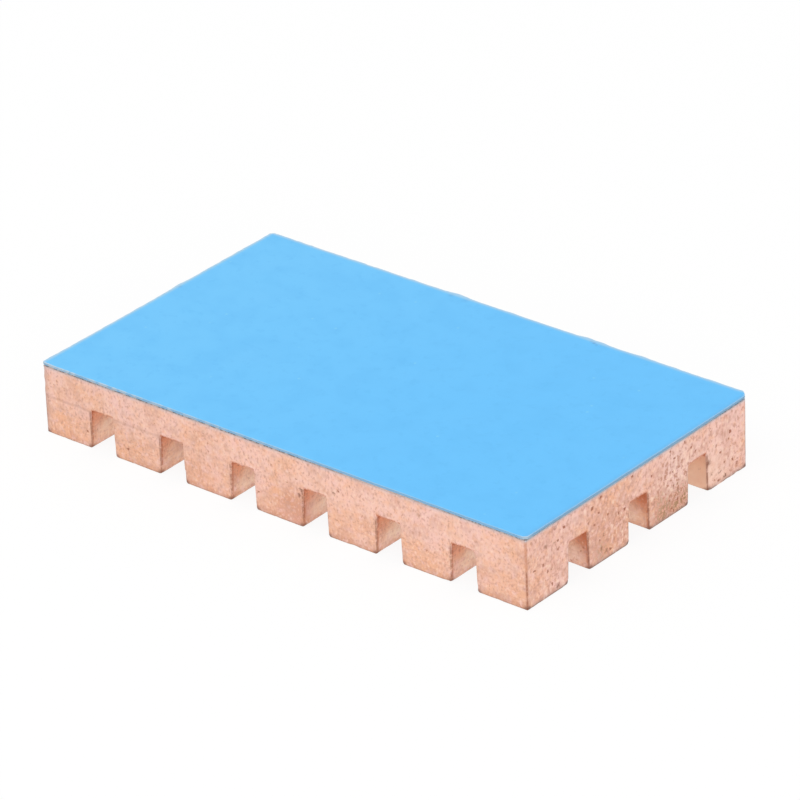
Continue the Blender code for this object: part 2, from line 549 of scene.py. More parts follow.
    def find_pins(self, masks: SimpleNamespace) -> None:
        """Add the pins' upright edges, the corners of their tips, and what lies between pins.

        Along each axis the distance from the middle of the nearest slot runs up and down, and a
        wall is where it comes to half a slot. The arris is each pin's +X -Y upright edge, which
        gets a painted shade line.

        Args:
            masks: The masks so far, which get these too.
        """
        from_slot, from_wall, worn_side = [], [], []
        turns = ((0.49, 0.51), (0.51, 0.49))
        for along, side, pins, turn in zip(masks.coordinates, BLOCK_SIDES, PINS, turns):
            pitch = (side + SLOT_MOUTH) / pins
            shifted = along + 0.5 * (side + SLOT_MOUTH)
            from_slot.append(shifted.joined("PINGPONG", 0.5 * pitch))
            from_wall.append((from_slot[-1] - 0.5 * SLOT_MOUTH).joined("ABSOLUTE"))
            worn_side.append(shifted.joined("DIVIDE", pitch).joined("FRACT").ramp(*turn))
        away = dict(zip("XYZ", (*from_wall, masks.height)))
        corner = add_node(masks.place.tree, "ShaderNodeCombineXYZ", away)
        settings = {"operation": "LENGTH", 0: corner}
        from_corner = add_node(masks.place.tree, "ShaderNodeVectorMath", settings, "Value")
        from_edge = from_wall[0] | from_wall[1]
        upright = masks.height.ramp(*self.edge_height)
        masks.pin_edge = from_edge.ramp(*self.edge_wear) * upright
        masks.arris = from_edge.ramp(*self.arris_band) * upright * (worn_side[0] * worn_side[1])
        masks.pin_corner = from_corner.ramp(*self.corner_wear)
        masks.in_slot = (from_slot[0] & from_slot[1]).ramp(*self.between_pins)

    def find_walls(self, masks: SimpleNamespace) -> None:
        """Add the slots' walls: painted shade at their roots, under their roofs, near the tops of the
        short side's walls and at the lips over the slots, a darker line along their mouths, and painted
        light on one wall.

        Args:
            masks: The masks so far, which get these too.
        """
        place, height, wall = masks.place, masks.height, masks.wall
        masks.flaked = place.mottled(self.flake_size, 2.0).ramp(0.28, 0.55)
        # the one wall where the painted shade gives way to painted light
        relit = patched(place, self.evenly_lit_walls)
        # painted shadow under the slot roofs
        hollow = wall * height.ramp(*self.roof_height)
        brim = wall * masks.inward.ramp(*self.slot_brim) * (masks.flaked - relit)
        masks.lined = brim | hollow
        masks.rooted = wall * height.ramp(*self.root_height) - relit
        masks.polished = ((relit.ramp(0.3, 0.9) - hollow) | 0.0) * wall
        masks.burnished = wall * patched(place, self.wall_top_shades)
        over_slot = height.ramp(*self.over_roof) * height.ramp(*self.under_roof)
        masks.over_slot = over_slot * masks.in_slot * masks.flaked

    def find_wear(self, masks: SimpleNamespace) -> None:
        """Add worn edges and corners, the feet's darker tone, the painted shade round the tips and the
        tool's line.

        Args:
            masks: The masks so far, which get these too.
        """
        place, height = masks.place, masks.height
        wear, masks.sunk = (
            add_node(place.tree, "ShaderNodeAttribute", {"attribute_name": name}, "Fac")
            for name in POINT_MARKS
        )
        broken = place.mottled(self.break_size, 2.0).ramp(0.25, 0.5)
        masks.worn = (wear.ramp(0.25, 0.75) | masks.pin_corner) * broken
        masks.cornered = masks.pin_corner * broken
        masks.kept = masks.end * 0.35 + 0.2
        # painted shade round the pin tips
        masks.rim = masks.low * height.ramp(*self.tip_shade_height) * (masks.end * 0.19 + 0.03)
        masks.foot = height.ramp(*self.foot_height) * masks.mottle.ramp(0.2, 0.5)
        outer = masks.inward.ramp(*self.outer_face)
        masks.witness = outer * patched(place, self.witnesses) * self.witness(height, masks.mottle)
        masks.smeared = height.ramp(*self.top_band_height, 0.7)

    def tones(self, masks: SimpleNamespace) -> list[tuple[str, Value]]:
        """Lay out the colours of the copper itself.

        Args:
            masks: All the masks.

        Returns:
            Hex colour and mask of each layer, from the lowest up.
        """
        end, grain, tone, bloom = masks.end, masks.grain, masks.tone, masks.bloom
        bright_wall = masks.polished * masks.height.ramp(*self.lit_wall_height, 0.45)
        return [
            (self.warm_pin, masks.on_pin * 0.8),
            (self.pink, end * 0.6),
            (self.tan, patched(masks.place, self.tans)),
            # darker towards the pins' feet
            (self.foot_tone, masks.foot * 0.9),
            (self.end_foot_tone, masks.foot * end * 0.7),
            # painted light: the slots get paler the deeper in they go
            (self.slot_fill_light, masks.slot),
            (self.pink, bloom.ramp(0.5, 0.7, 0.7)),
            (self.orange, bloom.ramp(0.48, 0.3, 0.6)),
            (self.pink, tone.ramp(0.5, 0.7, 0.7)),
            (self.orange, tone.ramp(0.5, 0.3, 0.5)),
            (self.pale, patched(masks.place, self.pales)),
            (self.burnish, patched(masks.place, self.rusts)),
            # painted orange shade on the slot walls towards their roots
            (self.root_shade, masks.rooted * 0.85),
            # painted orange shade near the tops of the short side's walls and under the slot roofs,
            # with a darker line along the walls' mouths
            (self.burnish, masks.burnished | masks.lined * 0.9),
            (self.dark_grain, masks.cloud.ramp(0.48, 0.3, 0.3)),
            (self.dark_grain, masks.streaked * 0.4),
            (self.dark_grain, grain.ramp(0.49, 0.28, 0.8)),
            (self.dark_grain, grain.ramp(0.5, 0.35, 0.5) * end),
            (self.pore, grain.ramp(0.47, 0.36, 0.55) * masks.speckled),
            (self.light_grain, grain.ramp(0.52, 0.75, 0.6)),
            (self.light_grain, grain.ramp(0.54, 0.66, 0.8) * masks.speckled),
            (self.light_grain, grain.ramp(0.54, 0.7, 0.25) * end),
            (self.dark_grain, masks.mottle.ramp(0.48, 0.25, 0.5)),
            # painted light on the slot walls away from their roots
            (self.wall_fill_light, (masks.slot - masks.rooted) * 0.4),
            # painted light on one slot wall, darker towards its bottom
            (self.polished_wall, masks.polished * 0.85),
            (self.tan, bright_wall),
        ]

    def marks(self, masks: SimpleNamespace) -> list[tuple[str, Value]]:
        """Lay out the colours of dirt, wear, pores and smears.

        Args:
            masks: All the masks.

        Returns:
            Hex colour and mask of each layer, from the lowest up.
        """
        end, low, worn, cornered = masks.end, masks.low, masks.worn, masks.cornered
        return [
            (self.darkened_edge, masks.witness * 0.27),
            (self.tarnish, masks.stained * 0.95),
            # painted shade line along the block's front upright edge
            (self.front_edge, patched(masks.footprint, self.front_edges)),
            # darker along the two far upright edges
            (self.grey_brown, patched(masks.footprint, self.far_edges) * 0.8),
            (self.pore, masks.pores * 0.6),
            # worn edges, with painted shade near the pin tips where the mark carries the rim
            (self.darkened_edge, worn * masks.kept),
            # painted shade along the pin tips
            (self.grey_brown, worn * low * masks.kept),
            # painted shade round the pin tips and along the pins' upright edges
            (self.edge_shade_grey, masks.rim | masks.pin_edge * 0.06),
            (self.darkened_edge, cornered * 0.5),
            # painted shade at the corners of the pin tips
            (self.grey_brown, cornered * low * 0.35),
            # painted shade at the lips over the slots
            (self.burnish, masks.over_slot * 0.6),
            # painted shade line on each pin's +X -Y upright edge
            (self.arris, masks.arris * masks.flaked * 0.55),
            (self.pit, masks.sunk * 0.8),
            (self.deep_pit, masks.pitted * 0.9),
            # painted blue reflection of the film, in a band under the top edge
            (self.wide_film_reflection, masks.height.ramp(*self.wide_reflection_height, 0.25)),
            # a grey band just under the top edge
            (self.smear, masks.smeared),
            # painted blue reflection of the film on the short sides
            (self.film_blue_reflection, masks.smeared * end),
        ]

    def strayed(self, place: Value) -> Value:
        """Shift a place by a fine noise, so that what is laid out by it gets a ragged outline.

        Args:
            place: Place on the piece.

        Returns:
            The shifted place.
        """
        settings = {"Scale": 1.0 / self.stray_size, "Detail": 1.0, "Vector": place}
        stray = add_node(place.tree, "ShaderNodeTexNoise", settings, "Color")
        settings = {"operation": "SUBTRACT", 0: stray, 1: (0.5, 0.5, 0.5)}
        stray = add_node(place.tree, "ShaderNodeVectorMath", settings)
        settings = {"operation": "MULTIPLY_ADD", 0: stray, 1: (self.stray_reach,) * 3, 2: place}
        return add_node(place.tree, "ShaderNodeVectorMath", settings)

    def witness(self, height: Value, mottle: Value) -> Value:
        """Mask of the line that the tool left at the level of the slot roots, which strays a little."""
        off_level = (height + mottle * self.witness_width - PIN_HEIGHT).joined("ABSOLUTE")
        return off_level.ramp(self.witness_width, 0.0)

    def scattered(self, place: Value, spacing: float, reach: float, share: Value) -> Value:
        """Mask some scattered pores with soft rims.

        Args:
            place: Place on the piece.
            spacing: Size of the cells, each of which may hold one pore.
            reach: How far a pore reaches, as a share of its cell.
            share: Share of the cells that hold one.

        Returns:
            The mask.
        """
        settings = {"Scale": 1.0 / spacing, "Vector": place}
        cells = add_node(place.tree, "ShaderNodeTexVoronoi", settings, "Distance")
        drawn = add_node(place.tree, "ShaderNodeSeparateColor", {"Color": cells.beside("Color")})
        return cells.ramp(reach, 0.05) * drawn.joined("LESS_THAN", share)


@dataclass(frozen=True)
class FilledAdhesive:
    """Thermal adhesive, an acrylic full of dark filler, cut with the film.

    Only its edge shows: a dull grey line, broken by pale brown where copper dust clings to it, with
    a painted blue reflection of the film over it on one short side.
    """

    name: str = "cut_filled_adhesive"
    dark: str = "#7F7A7B"
    grey: str = "#C6C5CA"
    dusty: str = "#E6CCC0"
    film_reflection: str = "#C3D1DE"
    roughness: float = 0.75
    refraction: float = 1.47
    patch_size: float = 0.3 * MM
    speck_size: float = 0.07 * MM
    dust: tuple[Patch, ...] = patches((4.9, -6.2, 2.74, 4.4, 1.0))
    film_reflections: tuple[Patch, ...] = patches((11.0, -0.6, 2.74, 7.5, 1.6))
    relief: float = 0.01 * MM

    def material(self) -> Material:
        """Build the material.

        Returns:
            The material.
        """
        material, shader, place = new_material(self.name)
        speck = place.mottled(self.speck_size, 2.0)
        layers = [
            (self.grey, speck.ramp(0.44, 0.6)),
            (self.dusty, place.mottled(self.patch_size, 2.0).ramp(0.5, 0.62, 0.8)),
            (self.dusty, patched(place, self.dust)),
            # painted blue reflection of the film on one short side
            (self.film_reflection, patched(place, self.film_reflections)),
        ]
        bump = {"Strength": 0.6, "Distance": self.relief, "Height": speck}
        surface = {
            "Base Color": layered(self.dark, layers),
            "Roughness": self.roughness,
            "IOR": self.refraction,
            "Normal": add_node(place.tree, "ShaderNodeBump", bump),
        }
        set_up(shader, surface)
        return material


@dataclass(frozen=True)
class PolyesterFilm:
    """Polyester release film, cast and dyed sky blue, and cut with a blade.

    It is flat and satin, so it shows one clear blue with faint flecks of dust and tiny dents, a
    painted pale sheen towards one end, a darker band along the other and a few short scratches.
    Its cut edge carries a painted highlight, with painted white glints at the sheened end and the
    front corner, and the two far sides have a rim of painted highlight.
    """

    name: str = "cast_polyester_film"
    face: str = "#50BEFC"
    fleck: str = "#84D2FA"
    shade: str = "#43B4F4"
    pale_sheen: str = "#5AC2FB"
    cut_edge: str = "#A5C8E1"
    end_shade: str = "#52AEE8"
    scratch: str = "#3C98DA"
    far_edge_highlight: str = "#A9CFE6"
    edge_glint: str = "#D2DDE4"
    roughness: float = 0.36
    refraction: float = 1.57
    fleck_spacing: float = 1.1 * MM
    cloud_size: float = 1.4 * MM
    dent_size: float = 0.34 * MM
    glint_size: float = 0.3 * MM
    relief: float = 0.004 * MM

    # Places along the length between which a mask goes up, and the two far sides with their painted
    # highlight
    sheen_reach: Pair = mm(6.0, -11.0)
    end_band: Pair = mm(10.78, 10.98)
    far_side: Pair = mm(-11.0, 6.445)
    highlight_width: float = 0.2 * MM

    corner_glints: tuple[Patch, ...] = patches((11.0, -6.2, 2.8, 0.4, 1.0))
    scratches: tuple[Patch, ...] = patches(
        (4.1, 6.37, 2.84, 0.12, 0.8),
        (4.25, 6.31, 2.84, 0.12, 1.0),
        (4.4, 6.24, 2.84, 0.1, 0.6),
        (-2.3, 6.3, 2.84, 0.2, 0.4),
        (-1.6, 6.26, 2.84, 0.24, 0.3),
        (-10.9, 1.1, 2.84, 0.14, 0.6),
    )

    def material(self) -> Material:
        """Build the material.

        Returns:
            The material.
        """
        material, shader, place = new_material(self.name)
        tree = place.tree
        dent = place.mottled(self.dent_size, 3.0)
        flecks = {"Scale": 1.0 / self.fleck_spacing, "Vector": place}
        fleck = add_node(tree, "ShaderNodeTexVoronoi", flecks, "Distance").ramp(0.07, 0.02, 0.5)
        along = add_node(tree, "ShaderNodeSeparateXYZ", {"Vector": place})
        sheened = along.ramp(*self.sheen_reach)
        from_far_side = (along - self.far_side[0]) & (along.beside("Y") * -1.0 + self.far_side[1])
        mark = add_node(tree, "ShaderNodeAttribute", {"attribute_name": "cut_edge"}, "Fac")
        edge = mark.ramp(0.5, 1.0)
        # painted white glints on the cut edge, at the sheened end and the front corner
        glinting = edge * sheened * place.mottled(self.glint_size, 3.0).ramp(0.42, 0.58)
        glinting |= edge * patched(place, self.corner_glints)
        layers = [
            # painted pale sheen towards the -X end
            (self.pale_sheen, sheened),
            (self.shade, place.mottled(self.cloud_size, 2.0).ramp(0.4, 0.7, 0.3)),
            (self.shade, dent.ramp(0.55, 0.7, 0.35)),
            (self.fleck, fleck),
            (self.end_shade, along.ramp(*self.end_band, 0.55)),
            (self.scratch, patched(place, self.scratches)),
            # painted highlight on the cut edge
            (self.cut_edge, edge * 0.6),
            # painted highlight along the two far sides
            (self.far_edge_highlight, from_far_side.ramp(self.highlight_width, 0.0, 0.7)),
            (self.edge_glint, glinting * 0.7),
        ]
        bump = {"Strength": 0.35, "Distance": self.relief, "Height": dent + fleck}
        surface = {
            "Base Color": layered(self.face, layers),
            "Roughness": self.roughness,
            "IOR": self.refraction,
            "Normal": add_node(tree, "ShaderNodeBump", bump),
        }
        set_up(shader, surface)
        return material


@dataclass(frozen=True)
class WhitePaper:
    """Matte white paper of a studio table, which glows just enough to show as white."""

    name: str = "matte_white_paper"
    matte_share: float = 0.1

    def material(self) -> Material:
        """Build the material.

        Returns:
            The material.
        """
        material = bpy.data.materials.new(self.name)
        material.use_nodes = True
        tree, share = material.node_tree, self.matte_share
        tree.nodes.remove(tree.nodes["Principled BSDF"])
        matte = add_node(tree, "ShaderNodeBsdfDiffuse", {"Color": (share, share, share, 1.0)})
        seen = {"Strength": background_rays(tree) * (1.0 - share)}
        both = {0: matte, 1: add_node(tree, "ShaderNodeEmission", seen)}
        paper = {"Surface": add_node(tree, "ShaderNodeAddShader", both)}
        set_up(tree.nodes["Material Output"], paper)
        return material


# Tools for shapes


def along_axis(axis: Axis, length: float) -> Vector:
    """Vector of some length along an axis."""
    vector = Vector()
    vector[axis.value] = length
    return vector


def add_object(name: str, data: Any) -> Object:
    """Add an object that shows a mesh, a lamp or a camera."""
    holder = bpy.data.objects.new(name, data)
    bpy.context.scene.collection.objects.link(holder)
    return holder


def new_mesh(name: str, bm: BMesh, material: Material) -> bpy.types.Mesh:
    """Store a bmesh as a mesh with one material.

    Args:
        name: Name of the mesh.
        bm: The finished bmesh, which is freed.
        material: Its material.

    Returns:
        The mesh.
    """
    mesh = bpy.data.meshes.new(name)
    bm.to_mesh(mesh)
    bm.free()
    mesh.materials.append(material)
    return mesh


def cut(bm: BMesh, axis: Axis, at: float, faces: Iterable, slack: float = 0.0) -> None:
    """Cut faces where a plane across an axis meets them.

    Args:
        bm: The mesh.
        axis: Axis that the plane lies across.
        at: Place of the plane on that axis.
        faces: Faces that may be cut.
        slack: How near the plane a point counts as on it.
    """
    index = axis.value
    spanning = [
        face
        for face in faces
        if min(vert.co[index] for vert in face.verts) < at < max(vert.co[index] for vert in face.verts)
    ]
    edges = {edge for face in spanning for edge in face.edges}
    verts = {vert for face in spanning for vert in face.verts}
    bmesh.ops.bisect_plane(
        bm,
        geom=[*verts, *edges, *spanning],
        dist=slack,
        plane_co=along_axis(axis, at),
        plane_no=along_axis(axis, 1.0),
    )


def cut_grid(bm: BMesh, axis: Axis, pitch: float, keep: set, slack: float) -> None:
    """Cut a mesh into slices of about one pitch along an axis.

    Args:
        bm: The mesh.
        axis: Axis along which the slices follow each other.
        pitch: Width of a slice.
        keep: Faces that stay whole.
        slack: How near a cut a point counts as on it.
    """
    places = [vert.co[axis.value] for vert in bm.verts]
    low, high = min(places), max(places)
    slices = round((high - low) / pitch)
    for number in range(1, slices):
        at = low + (high - low) * number / slices
        cut(bm, axis, at, [face for face in bm.faces if face not in keep], slack)


def bevel(bm: BMesh, edges: list, radius: float, segments: int) -> list:
    """Round edges to a radius.

    Args:
        bm: The mesh.
        edges: Edges to round.
        radius: Radius of the rounding.
        segments: Facets across the rounding.

    Returns:
        The faces of the roundings.
    """
    made = bmesh.ops.bevel(
        bm,
        geom=edges,
        affect="EDGES",
        offset=radius,
        offset_type="OFFSET",
        segments=segments,
        profile=0.5,
        material=-1,
        loop_slide=True,
        clamp_overlap=False,
    )
    return made["faces"]


def finish_piece(
    bm: BMesh,
    name: str,
    material: Material,
    node: str,
    smooth_angle: float,
) -> Object:
    """Store a mesh as a piece that stands for a CAD node.

    Args:
        bm: The finished mesh, already in place.
        name: Name of the piece.
        material: Its material.
        node: CAD node that it stands for.
        smooth_angle: Angle between faces past which an edge stays sharp.

    Returns:
        The piece.
    """
    bmesh.ops.recalc_face_normals(bm, faces=bm.faces)
    mesh = new_mesh(name, bm, material)
    mesh.shade_smooth()
    mesh.set_sharp_from_angle(angle=smooth_angle)
    piece = add_object(name, mesh)
    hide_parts(node)
    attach(piece, "root")
    triangles = sum(len(polygon.vertices) - 2 for polygon in mesh.polygons)
    log.info("%s: %d triangles, stands for %s", name, triangles, node)
    return piece


# Pieces


@dataclass
class CopperBlock:
    """The copper block: a base plate over a grid of square pins, formed as one body.

    Attributes:
        node: CAD node that the piece stands for.
        slot: Material slot of the record; not used.
        finish: Finish of the copper.
        slot_draft: Lean of a slot's walls.
        root_radius: Radius where pins meet the base plate.
        lip_radius: Radius of a slot's lips, where its walls meet the pin tips.
        edge_radius: Radius of the other edges.
        top_radius: Radius of the edges under the sheets, which keep them crisp.
        margin: Width added round the block before its sides are cut true.
        pitch: Size of the fine facets that carry the surface's relief.
        pitch_slack: How near a facet's cut a point counts as on it.
        loosening: How far a point shifts in its face, as a share of its shortest edge.
        swell: Height of the surface's broad swells, and their length.
        ripple: Height of its fine ripples, and their length.
        chip: Depth of the chips along the edges, and their length.
        chip_start: Value of the noise at which a chip starts.
        chip_rise: How steeply a chip deepens from there.
        hollow_angle: Angle of an edge, in radians, below which it is hollow.
        sharp_angle: Angle of an edge past which it is rounded.
        smooth_angle: Angle between faces past which an edge stays sharp.
        rim: Height of the rim round each pin's tip that is marked for painted shade.
        upper_loss: How much less the edges are worn at the slot roots than at the pin tips.
        front_wear: Wear of the upright edge between the two sides that the photograph shows.
        pore_share: Share of facets that hold an open pore, on short sides and elsewhere.
        pore_widths: How far in from a facet's edge a pore starts, one value for each size of pore.
        pore_depth: Depth of an open pore.
        seed: Seed of all random draws.
    """

    node: str = "copper_heat_sink"
    slot: str = "pressed_copper"
    finish: PressedCopper = field(default_factory=PressedCopper)
    slot_draft: float = math.radians(2.0)
    root_radius: float = 0.06 * MM
    lip_radius: float = 0.1 * MM
    edge_radius: float = 0.04 * MM
    top_radius: float = 0.012 * MM
    margin: float = 1.0 * MM
    pitch: float = 0.12 * MM
    pitch_slack: float = 0.01 * MM
    loosening: float = 0.3
    swell: Pair = (0.007 * MM, 1.3 * MM)
    ripple: Pair = (0.003 * MM, 0.22 * MM)
    chip: Pair = (0.025 * MM, 0.35 * MM)
    chip_start: float = 0.25
    chip_rise: float = 3.0
    hollow_angle: float = -0.5
    sharp_angle: float = math.radians(24.0)
    smooth_angle: float = math.radians(50.0)
    rim: float = 0.12 * MM
    upper_loss: float = 0.45
    front_wear: float = 0.4
    pore_share: Pair = (0.022, 0.002)
    pore_widths: tuple[float, ...] = (0.015 * MM, 0.03 * MM, 0.045 * MM)
    pore_depth: float = 0.008 * MM
    seed: int = 22

    def build(self) -> Object:
        """Make the block.

        Returns:
            The piece.
        """
        self.low, self.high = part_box(self.node)
        self.size = self.high - self.low
        self.draws = random.Random(self.seed)
        bm = bmesh.new()
        bm.faces.layers.int.new("worn")
        for mark in POINT_MARKS:
            bm.verts.layers.float.new(mark)
        self.form_pins(bm)
        self.round_roots(bm)
        self.true_sides(bm)
        self.round_edges(bm)
        self.refine(bm)
        self.loosen(bm)
        pores = self.open_pores(bm)
        self.mark(bm, pores)
        self.weather(bm)
        material = self.finish.material()
        return finish_piece(
            bm, "pressed_copper_block", material, self.node, self.smooth_angle
        )

    def slot_centres(self, side: float, pins: int) -> list[float]:
        """Centres of the slots that leave equal pins along a side."""
        pitch = (side + SLOT_MOUTH) / pins
        return [(number + 1 - 0.5 * pins) * pitch for number in range(pins - 1)]

    def form_pins(self, bm: BMesh) -> None:
        """Form the pins under a base plate that is a margin too wide on each side.

        The underside is cut along the middles of the slots, each cell is inset by half a slot,
        and the cells are drawn down and narrowed by the draft.

        Args:
            bm: The mesh.
        """
        base = self.size.z - PIN_HEIGHT
        bmesh.ops.create_cube(bm, size=1.0)
        wide = Vector((self.size.x + 2 * self.margin, self.size.y + 2 * self.margin, base))
        bmesh.ops.scale(bm, vec=wide, verts=bm.verts)
        bmesh.ops.translate(bm, vec=Vector((0.0, 0.0, self.high.z - 0.5 * base)), verts=bm.verts)
        for axis, pins in zip((Axis.LENGTH, Axis.WIDTH), PINS):
            for centre in self.slot_centres(self.size[axis.value], pins):
                bm.normal_update()
                cut(bm, axis, centre, [face for face in bm.faces if face.normal.z < -0.9])
        bm.normal_update()
        cells = [face for face in bm.faces if face.normal.z < -0.9]
        lean = PIN_HEIGHT * math.tan(self.slot_draft)
        bmesh.ops.inset_individual(
            bm, faces=cells, thickness=0.5 * SLOT_MOUTH - lean, use_even_offset=True
        )
        for tip in bmesh.ops.extrude_discrete_faces(bm, faces=cells)["faces"]:
            centre = tip.calc_center_median()
            for vert in tip.verts:
                vert.co.x += math.copysign(lean, centre.x - vert.co.x)
                vert.co.y += math.copysign(lean, centre.y - vert.co.y)
                vert.co.z = self.low.z
        bm.normal_update()

    def at_level(self, edge: BMEdge, level: float) -> bool:
        """True for an edge whose ends both lie at a level."""
        return all(abs(vert.co.z - level) < LEVEL_SLACK for vert in edge.verts)

    def round_roots(self, bm: BMesh) -> None:
        """Round the hollow edges between the pins and the base plate.

        Args:
            bm: The mesh.
        """
        root = self.low.z + PIN_HEIGHT
        hollow = [
            edge
            for edge in bm.edges
            if self.at_level(edge, root) and edge.calc_face_angle_signed() < self.hollow_angle
        ]
        bevel(bm, hollow, self.root_radius, 4)

    def true_sides(self, bm: BMesh) -> None:
        """Cut the four sides flat at the block's own size and close them.

        Args:
            bm: The mesh.
        """
        for axis in (Axis.LENGTH, Axis.WIDTH):
            for side in (-1, 1):
                bmesh.ops.bisect_plane(
                    bm,
                    geom=[*bm.verts, *bm.edges, *bm.faces],
                    dist=TRUE_SLACK,
                    plane_co=along_axis(axis, side * 0.5 * self.size[axis.value]),
                    plane_no=along_axis(axis, side),
                    clear_outer=True,
                )
                opened = [edge for edge in bm.edges if edge.is_boundary]
                bmesh.ops.contextual_create(bm, geom=opened)
        bmesh.ops.recalc_face_normals(bm, faces=bm.faces)
        bm.normal_update()

    def round_edges(self, bm: BMesh) -> None:
        """Round the lips of the slots, then the other outer edges more finely, and last the top's.

        The faces of the second roundings are marked as worn, because they darken most.

        Args:
            bm: The mesh.
        """
        lips = [
            edge
            for edge in bm.edges
            if self.at_level(edge, self.low.z)
            and self.inward(0.5 * (edge.verts[0].co + edge.verts[1].co)) > 0.01 * MM
        ]
        bevel(bm, lips, self.lip_radius, 4)
        bm.normal_update()
        proud = [
            edge
            for edge in bm.edges
            if edge.calc_face_angle_signed() > self.sharp_angle
            and not self.at_level(edge, self.high.z)
        ]
        worn = bm.faces.layers.int["worn"]
        for face in bevel(bm, proud, self.edge_radius, 3):
            face[worn] = 1
        bm.normal_update()
        top = [edge for edge in bm.edges if self.at_level(edge, self.high.z)]
        bevel(bm, top, self.top_radius, 2)
        bm.normal_update()

    def refine(self, bm: BMesh) -> None:
        """Cut everything but the hidden top into fine facets that can carry relief.

        Args:
            bm: The mesh.
        """
        top = max(bm.faces, key=lambda face: face.calc_center_median().z)
        for axis in Axis:
            cut_grid(bm, axis, self.pitch, {top}, self.pitch_slack)
        bm.normal_update()

    def is_flat(self, vert: BMVert) -> bool:
        """True for a point in the middle of a flat face."""
        return all(face.normal.dot(vert.normal) > 0.9999 for face in vert.link_faces)

    def loosen(self, bm: BMesh) -> None:
        """Shift the points of the flat faces a little within them, so that no grid shows.

        Args:
            bm: The mesh.
        """
        moves = []
        for vert in bm.verts:
            if not self.is_flat(vert):
                continue
            reach = self.loosening * min(edge.calc_length() for edge in vert.link_edges)
            shift = Vector([self.draws.uniform(-reach, reach) for _ in Axis])
            moves.append((vert, shift - vert.normal * shift.dot(vert.normal)))
        for vert, shift in moves:
            vert.co += shift

    def open_pores(self, bm: BMesh) -> list:
        """Sink open pores into some of the flat facets.

        Args:
            bm: The mesh.

        Returns:
            The floors of the pores.
        """
        on_end, elsewhere = self.pore_share
        least = 0.6 * self.pitch * self.pitch
        groups = [[] for _ in self.pore_widths]
        for face in bm.faces:
            if len(face.verts) != 4 or face.calc_area() < least:
                continue
            at_end = abs(face.normal.x) > 0.99 and self.outside(face.calc_center_median())
            share = on_end if at_end else elsewhere
            if self.draws.random() < share and all(self.is_flat(vert) for vert in face.verts):
                self.draws.choice(groups).append(face)
        for faces, width in zip(groups, self.pore_widths):
            bmesh.ops.inset_individual(
                bm, faces=faces, thickness=width, depth=-self.pore_depth, use_even_offset=True
            )
        bm.normal_update()
        return [face for faces in groups for face in faces]

    def outside(self, place: Vector) -> bool:
        """True for a place on one of the block's four outer sides."""
        return self.inward(place) < 0.02 * MM

    def inward(self, place: Vector) -> float:
        """How far a place lies in from the nearest outer side."""
        return min(0.5 * self.size.x - abs(place.x), 0.5 * self.size.y - abs(place.y))

    def mark(self, bm: BMesh, pores: list) -> None:
        """Mark each point with what its finish depends on.

        Args:
            bm: The mesh.
            pores: Floors of the open pores.
        """
        worn = bm.faces.layers.int["worn"]
        wear, pore = (bm.verts.layers.float[mark] for mark in POINT_MARKS)
        for vert in bm.verts:
            vert[wear] = self.wear_at(vert, sum(face[worn] for face in vert.link_faces))
        for face in pores:
            for vert in face.verts:
                vert[pore] = 1.0

    def wear_at(self, vert: BMVert, rounded: int) -> float:
        """How worn a point is: most at the corners, never by the film; the rim round the pin tips is
        marked too, for painted shade.

        Args:
            vert: The point.
            rounded: Number of its faces that belong to a rounding.

        Returns:
            A share from 0 to 1.
        """
        place = vert.co
        if place.z > self.high.z - 2.0 * self.edge_radius:
            return 0.0
        above_tip = place.z - self.low.z
        from_corner = max(0.5 * self.size.x - abs(place.x), 0.5 * self.size.y - abs(place.y))
        kept = 1.0 - self.upper_loss * min(1.0, above_tip / PIN_HEIGHT)
        if from_corner < self.rim:
            kept = self.front_wear if place.x > 0.0 > place.y else 1.0
        # the rim round the tips carries painted shade, in the same mark as the wear
        rim = 1.0 - above_tip / self.rim if abs(vert.normal.z) < 0.8 else 0.0
        return max(kept * rounded / len(vert.link_faces), rim)

    def weather(self, bm: BMesh) -> None:
        """Give the surface its swells, ripples and chipped edges, and leave the hidden top flat.

        Args:
            bm: The mesh.
        """
        wear = bm.verts.layers.float["edge_wear"]
        for vert in bm.verts:
            place = vert.co
            if place.z > self.high.z - LEVEL_SLACK:
                continue
            rise = sum(
                depth * noise.noise(place / length) for depth, length in (self.swell, self.ripple)
            )
            depth, length = self.chip
            bite = noise.noise(place / length + Vector((7.0, 3.0, 5.0)))
            chipped = min(1.0, max(0.0, self.chip_rise * (bite - self.chip_start)))
            rise -= depth * vert[wear] * chipped
            place += vert.normal * rise
            place.z = max(place.z, self.low.z)


